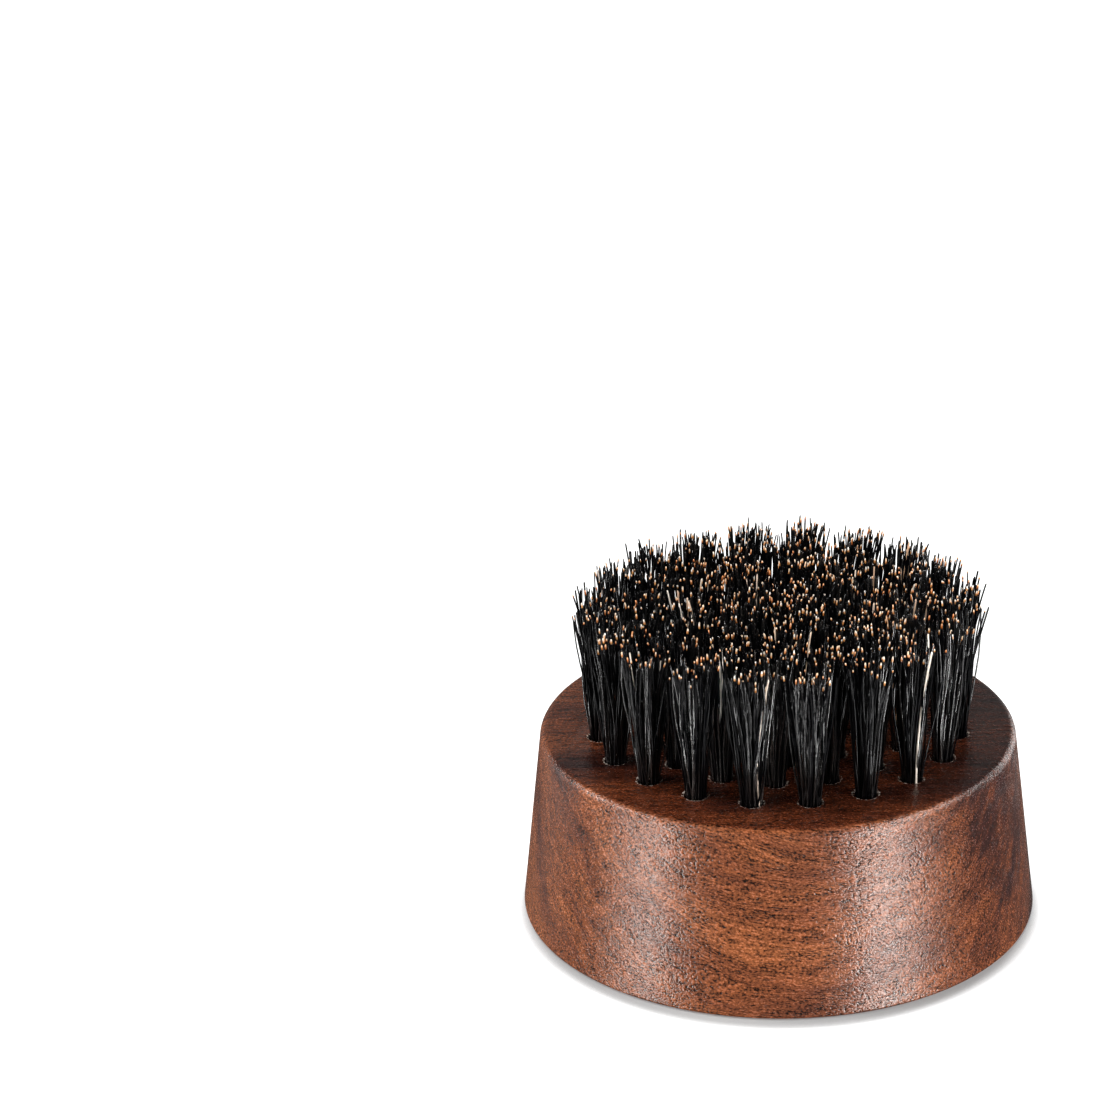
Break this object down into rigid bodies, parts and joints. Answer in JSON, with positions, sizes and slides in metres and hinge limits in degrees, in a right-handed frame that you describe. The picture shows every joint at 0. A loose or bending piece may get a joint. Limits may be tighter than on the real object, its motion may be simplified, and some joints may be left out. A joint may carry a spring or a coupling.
{
  "type": "beard brush",
  "caption": "Round palm beard brush: low tapered turned walnut handle with short black boar bristle tufts set in concentric rings of drilled holes.",
  "frame": {"origin": "centre of the handle's broad flat face, on which the brush stands", "axes": "+Z along the handle's axis, from the broad face towards the bristles' tips; the front tufts face -Y"},
  "size_m": [0.06, 0.06, 0.0369],
  "materials": {
    "walnut": "satin oiled walnut with dark open pores and darker growth bands",
    "bristle": "black boar bristle with amber tips and a soft grey sheen"
  },
  "bodies": {
    "root": {"handle": "walnut", "tuft_centre": "bristle", "tuft_inner_01": "bristle", "tuft_inner_02": "bristle", "tuft_inner_03": "bristle", "tuft_inner_04": "bristle", "tuft_inner_05": "bristle", "tuft_inner_06": "bristle", "tuft_third_01": "bristle", "tuft_third_02": "bristle", "tuft_third_03": "bristle", "tuft_third_04": "bristle", "tuft_third_05": "bristle", "tuft_third_06": "bristle", "tuft_third_07": "bristle", "tuft_third_08": "bristle", "tuft_third_09": "bristle", "tuft_third_10": "bristle", "tuft_third_11": "bristle", "tuft_second_01": "bristle", "tuft_second_02": "bristle", "tuft_second_03": "bristle", "tuft_second_04": "bristle", "tuft_second_05": "bristle", "tuft_second_06": "bristle", "tuft_second_07": "bristle", "tuft_second_08": "bristle", "tuft_second_09": "bristle", "tuft_second_10": "bristle", "tuft_second_11": "bristle", "tuft_second_12": "bristle", "tuft_second_13": "bristle", "tuft_second_14": "bristle", "tuft_second_15": "bristle", "tuft_second_16": "bristle", "tuft_outer_01": "bristle", "tuft_outer_02": "bristle", "tuft_outer_03": "bristle", "tuft_outer_04": "bristle", "tuft_outer_05": "bristle", "tuft_outer_06": "bristle", "tuft_outer_07": "bristle", "tuft_outer_08": "bristle", "tuft_outer_09": "bristle", "tuft_outer_10": "bristle", "tuft_outer_11": "bristle", "tuft_outer_12": "bristle", "tuft_outer_13": "bristle", "tuft_outer_14": "bristle", "tuft_outer_15": "bristle", "tuft_outer_16": "bristle", "tuft_outer_17": "bristle", "tuft_outer_18": "bristle", "tuft_outer_19": "bristle", "tuft_outer_20": "bristle"}
  },
  "joints": []
}
